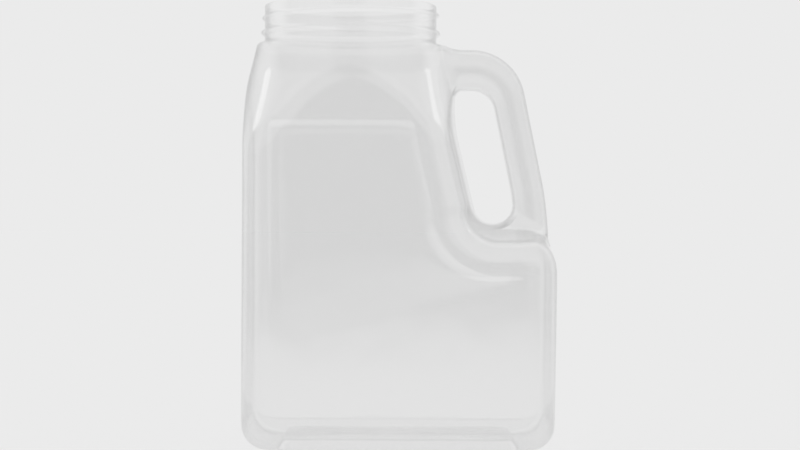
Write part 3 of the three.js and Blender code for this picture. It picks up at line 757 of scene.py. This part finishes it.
def jug_mesh():
    skin = Skin()
    count = len(skin.points)
    walls = [WALL] * count
    for row, ids in zip(skin.rows, skin.ids):
        for i in ids:
            walls[i] = row["wall"]
    inner = [at - normal * wall_at(at, wall) for at, normal, wall in zip(skin.points, skin.normals, walls)]
    for row, ids in zip(skin.rows, skin.ids):
        if row["kind"] == "neck":
            lip = max(0, RIM_INNER_EDGE - (HEIGHT - row["z"]))
            for i, column in zip(ids, COLUMNS):
                rise = max(0, math.hypot(skin.points[i].x - NECK_X, skin.points[i].y) - NECK_RADIUS)
                bore = NECK_RADIUS - NECK_WALL + lip + NECK_FOLLOW * rise
                inner[i] = round_point(bore, bore, row["z"], column)
    outer = list(skin.points)
    used = set(i for face in skin.faces for i in face)
    for i in skin.seam_points():
        outer[i] = outer[i] + skin.normals[i] * SEAM_RISE * float(outer[i].z > SEAM_FOOT_Z)
    faces = list(skin.faces)
    faces += [tuple(i + count for i in reversed(face)) for face in skin.faces]
    rim = skin.ids[0]
    for u, i in enumerate(rim):
        right = rim[(u + 1) % len(rim)]
        faces.append((i + count, i, right, right + count))
    points = outer + inner
    kept = sorted(used | set(i + count for i in used))
    number = {old: new for new, old in enumerate(kept)}
    mesh = bpy.data.meshes.new("jug_shell")
    corners = [tuple(number[i] for i in face) for face in faces]
    mesh.from_pydata([points[i] * MM for i in kept], [], corners)
    mesh.shade_smooth()
    return mesh


# Smooth change of one coordinate into a value
def fade_node(nodes, links, source, start, end, start_value, end_value):
    fade = nodes.new("ShaderNodeMapRange")
    fade.interpolation_type = "SMOOTHSTEP"
    fade.inputs["From Min"].default_value = start
    fade.inputs["From Max"].default_value = end
    fade.inputs["To Min"].default_value = start_value
    fade.inputs["To Max"].default_value = end_value
    links.new(source, fade.inputs["Value"])
    return fade.outputs["Result"]


# Clear plastic film: light goes straight through the thin wall, and a clear coat carries its reflections.
# It has faint flow waves, fine scuffs and a drift in gloss. The neck gets a lighter tint than the body:
# painted light that brightens the neck.
BODY_TINT = 0.97
# Lighter tint on the neck, as painted light, and the heights over which it fades in
NECK_PAINTED_LIGHT_TINT = 0.995
NECK_PAINTED_LIGHT_START = 0.235
NECK_PAINTED_LIGHT_END = 0.243
PLASTIC_IOR = 1.575
COAT_ROUGHNESS = 0.04
ROUGHNESS_LEAST = 0.02
ROUGHNESS_MOST = 0.07
ROUGHNESS_SCALE = 28
ROUGHNESS_DETAIL = 3
WAVE_STRENGTH = 0.25
WAVE_HEIGHT = 0.0006
WAVE_SCALE = 34
WAVE_DETAIL = 1
SCUFF_STRENGTH = 0.04
SCUFF_HEIGHT = 0.0001
SCUFF_SCALE = 900
SCUFF_DETAIL = 4


def clear_plastic():
    material = bpy.data.materials.new("clear_plastic")
    material.use_nodes = True
    nodes = material.node_tree.nodes
    links = material.node_tree.links
    shader = nodes["Principled BSDF"]
    shader.inputs["Transmission Weight"].default_value = 1
    shader.inputs["IOR"].default_value = 1
    shader.inputs["Coat Weight"].default_value = 1
    shader.inputs["Coat IOR"].default_value = PLASTIC_IOR
    shader.inputs["Coat Roughness"].default_value = COAT_ROUGHNESS
    place = nodes.new("ShaderNodeTexCoord")
    split = nodes.new("ShaderNodeSeparateXYZ")
    links.new(place.outputs["Object"], split.inputs["Vector"])
    height = split.outputs["Z"]
    # Body tint, lightened on the neck as painted light
    tint = fade_node(nodes, links, height, NECK_PAINTED_LIGHT_START, NECK_PAINTED_LIGHT_END, BODY_TINT, NECK_PAINTED_LIGHT_TINT)
    links.new(tint, shader.inputs["Base Color"])

    def noise_node(scale, detail):
        node = nodes.new("ShaderNodeTexNoise")
        node.inputs["Scale"].default_value = scale
        node.inputs["Detail"].default_value = detail
        links.new(place.outputs["Object"], node.inputs["Vector"])
        return node

    gloss = nodes.new("ShaderNodeMapRange")
    gloss.inputs["To Min"].default_value = ROUGHNESS_LEAST
    gloss.inputs["To Max"].default_value = ROUGHNESS_MOST
    links.new(noise_node(ROUGHNESS_SCALE, ROUGHNESS_DETAIL).outputs["Fac"], gloss.inputs["Value"])
    links.new(gloss.outputs["Result"], shader.inputs["Roughness"])
    waves = nodes.new("ShaderNodeBump")
    waves.inputs["Strength"].default_value = WAVE_STRENGTH
    waves.inputs["Distance"].default_value = WAVE_HEIGHT
    links.new(noise_node(WAVE_SCALE, WAVE_DETAIL).outputs["Fac"], waves.inputs["Height"])
    scuffs = nodes.new("ShaderNodeBump")
    scuffs.inputs["Strength"].default_value = SCUFF_STRENGTH
    scuffs.inputs["Distance"].default_value = SCUFF_HEIGHT
    links.new(noise_node(SCUFF_SCALE, SCUFF_DETAIL).outputs["Fac"], scuffs.inputs["Height"])
    links.new(waves.outputs["Normal"], scuffs.inputs["Normal"])
    links.new(scuffs.outputs["Normal"], shader.inputs["Normal"])
    links.new(scuffs.outputs["Normal"], shader.inputs["Coat Normal"])
    return material


def add_jug():
    piece = bpy.data.objects.new("jug_shell", jug_mesh())
    bpy.context.collection.objects.link(piece)
    piece.data.materials.append(clear_plastic())
    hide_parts("jug")
    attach(piece, "root")


# Camera: level, at half the jug's height, straight in front
CAMERA_DISTANCE = 1.175
CAMERA_X = 0.00024
CAMERA_Z = 0.1329
FRAME_WIDTH = 0.488
SENSOR_WIDTH = 36
CAMERA_ROLL = math.radians(-0.25)


def add_camera():
    camera = bpy.data.cameras.new("camera")
    camera.sensor_width = SENSOR_WIDTH
    camera.lens = SENSOR_WIDTH * CAMERA_DISTANCE / FRAME_WIDTH
    holder = bpy.data.objects.new("camera", camera)
    holder.location = (CAMERA_X, -CAMERA_DISTANCE, CAMERA_Z)
    holder.rotation_euler = (QUARTER, CAMERA_ROLL, 0)
    bpy.context.collection.objects.link(holder)
    bpy.context.scene.camera = holder


# Studio: an even pale sweep. Reflections alone see a dim room in front of the sweep, and a darker card
# behind each side of the jug.
PALE = 0.8308
ROOM_DIM = 0.09
ROOM_BESIDE = 0.36
ROOM_BEHIND = 0.8
ROOM_ABOVE = 0.4
ROOM_FRONT = -0.985
ROOM_FRONT_END = -0.88
ROOM_SIDE = -0.3
ROOM_REAR = 0.4
CARD_BRIGHTNESS = 0.55
CARD_START = 0.6
CARD_DARKEST = 0.88
CARD_DARK_END = 0.95
CARD_END = 0.98
ROOM_HIGH = 0.13
ROOM_TOP = 0.3
FLOOR_RADIUS = 30
FLOOR_CORNERS = 64
FLOOR_DROP = 0.0002
FLOOR_DIFFUSE = 0.04
# Reach and brightness of the painted pool of light on the floor near the jug, seen in reflections
FLOOR_NEAR = 0.1
FLOOR_FAR = 2.8
FLOOR_PAINTED_POOL = 0.72
LIGHT_DISTANCE = 1.6
LIGHT_HALF_LENGTH = math.radians(4)
LIGHT_HALF_HEIGHT = math.radians(2.5)
LIGHT_BRIGHTNESS = 0.6
LEFT_LIGHT_BEARING = math.radians(-113)
LEFT_LIGHT_RISE = math.radians(30.5)
RIGHT_LIGHT_BEARING = math.radians(107)
RIGHT_LIGHT_RISE = math.radians(34)


def floor_disc():
    turns = [4 * QUARTER * i / FLOOR_CORNERS for i in range(FLOOR_CORNERS)]
    rim = [(FLOOR_RADIUS * math.cos(turn), FLOOR_RADIUS * math.sin(turn), -FLOOR_DROP) for turn in turns]
    mesh = bpy.data.meshes.new("floor")
    mesh.from_pydata(rim, [], [tuple(range(FLOOR_CORNERS))])
    piece = bpy.data.objects.new("floor", mesh)
    bpy.context.collection.objects.link(piece)
    return piece


# Pale as seen straight or through the jug, and the given brightness in reflections
def pale_unless_reflected(nodes, links, reflected):
    path = nodes.new("ShaderNodeLightPath")
    choose = nodes.new("ShaderNodeMix")
    choose.inputs["A"].default_value = PALE
    links.new(path.outputs["Glossy Depth"], choose.inputs["Factor"])
    links.new(reflected, choose.inputs["B"])
    return choose.outputs["Result"]


# The largest or smallest of several values, as the operation says
def combine(nodes, links, operation, values):
    result = values[0]
    for value in values[1:]:
        pick = nodes.new("ShaderNodeMath")
        pick.operation = operation
        links.new(result, pick.inputs[0])
        links.new(value, pick.inputs[1])
        result = pick.outputs["Value"]
    return result


# Brightness of the room in one direction: dim where it is level and in front, bright behind, and with a
# darker card on each side of the backdrop
def room_light(nodes, links, direction):
    split = nodes.new("ShaderNodeSeparateXYZ")
    links.new(direction, split.inputs["Vector"])
    away = split.outputs["Y"]
    beside = fade_node(nodes, links, away, ROOM_FRONT, ROOM_FRONT_END, ROOM_DIM, ROOM_BESIDE)
    sweep = fade_node(nodes, links, away, ROOM_SIDE, ROOM_REAR, ROOM_DIM, ROOM_BEHIND)
    card = fade_node(nodes, links, away, CARD_START, CARD_DARKEST, ROOM_BEHIND, CARD_BRIGHTNESS)
    backdrop = fade_node(nodes, links, away, CARD_DARK_END, CARD_END, CARD_BRIGHTNESS, ROOM_BEHIND)
    open_part = combine(nodes, links, "MAXIMUM", [card, backdrop])
    behind = combine(nodes, links, "MINIMUM", [sweep, open_part])
    above = fade_node(nodes, links, split.outputs["Z"], ROOM_HIGH, ROOM_TOP, ROOM_DIM, ROOM_ABOVE)
    return combine(nodes, links, "MAXIMUM", [beside, behind, above])


# The floor glows. It is evenly pale seen straight or through the jug; in reflections it shows a painted
# pool of light near the jug and, further out, a painted copy of the room's light.
def add_floor():
    floor = floor_disc()
    material = bpy.data.materials.new("pale_floor")
    material.use_nodes = True
    nodes = material.node_tree.nodes
    links = material.node_tree.links
    shader = nodes["Principled BSDF"]
    place = nodes.new("ShaderNodeTexCoord")
    length = nodes.new("ShaderNodeVectorMath")
    length.operation = "LENGTH"
    links.new(place.outputs["Object"], length.inputs[0])
    distance = length.outputs["Value"]
    # Painted pool of light on the floor near the jug
    painted_pool = fade_node(nodes, links, distance, FLOOR_NEAR, FLOOR_FAR, FLOOR_PAINTED_POOL, ROOM_DIM)
    # Painted copy of the room's light on the floor, by direction from the jug
    direction = nodes.new("ShaderNodeVectorMath")
    direction.operation = "NORMALIZE"
    links.new(place.outputs["Object"], direction.inputs[0])
    room = room_light(nodes, links, direction.outputs["Vector"])
    painted_glow = pale_unless_reflected(nodes, links, combine(nodes, links, "MAXIMUM", [painted_pool, room]))
    shader.inputs["Base Color"].default_value = (FLOOR_DIFFUSE,) * 3 + (1,)
    shader.inputs["Roughness"].default_value = 1
    shader.inputs["Specular IOR Level"].default_value = 0
    shader.inputs["Emission Strength"].default_value = 1 - FLOOR_DIFFUSE
    links.new(painted_glow, shader.inputs["Emission Color"])
    floor.data.materials.append(material)


# A small soft light, placed by its bearing from the jug, with 0 towards the camera and 90 degrees to the
# right, and by how far it is raised
def add_softbox(name, bearing, rise):
    light = bpy.data.lights.new(name, "AREA")
    light.shape = "RECTANGLE"
    light.size = 2 * LIGHT_DISTANCE * math.tan(LIGHT_HALF_LENGTH)
    light.size_y = 2 * LIGHT_DISTANCE * math.tan(LIGHT_HALF_HEIGHT)
    light.energy = LIGHT_BRIGHTNESS * light.size * light.size_y * math.pi
    holder = bpy.data.objects.new(name, light)
    holder.visible_diffuse = False
    level = math.cos(rise)
    way = Vector((math.sin(bearing) * level, -math.cos(bearing) * level, math.sin(rise)))
    middle = Vector((0, 0, HEIGHT * MM / 2))
    holder.location = middle + way * LIGHT_DISTANCE
    holder.rotation_euler = (-way).to_track_quat("-Z", "Y").to_euler()
    bpy.context.collection.objects.link(holder)


def add_world():
    world = bpy.data.worlds.new("pale_world")
    world.use_nodes = True
    nodes = world.node_tree.nodes
    links = world.node_tree.links
    place = nodes.new("ShaderNodeTexCoord")
    room = room_light(nodes, links, place.outputs["Generated"])
    links.new(pale_unless_reflected(nodes, links, room), nodes["Background"].inputs["Color"])
    bpy.context.scene.world = world
    bpy.context.scene.view_settings.view_transform = "Standard"
    cycles = bpy.context.scene.cycles
    cycles.max_bounces = 24
    cycles.transmission_bounces = 24
    cycles.glossy_bounces = 8
    cycles.transparent_max_bounces = 16
    cycles.caustics_refractive = True
    cycles.caustics_reflective = False


add_camera()
add_world()
add_floor()
add_softbox("soft_left", LEFT_LIGHT_BEARING, LEFT_LIGHT_RISE)
add_softbox("soft_right", RIGHT_LIGHT_BEARING, RIGHT_LIGHT_RISE)
add_jug()
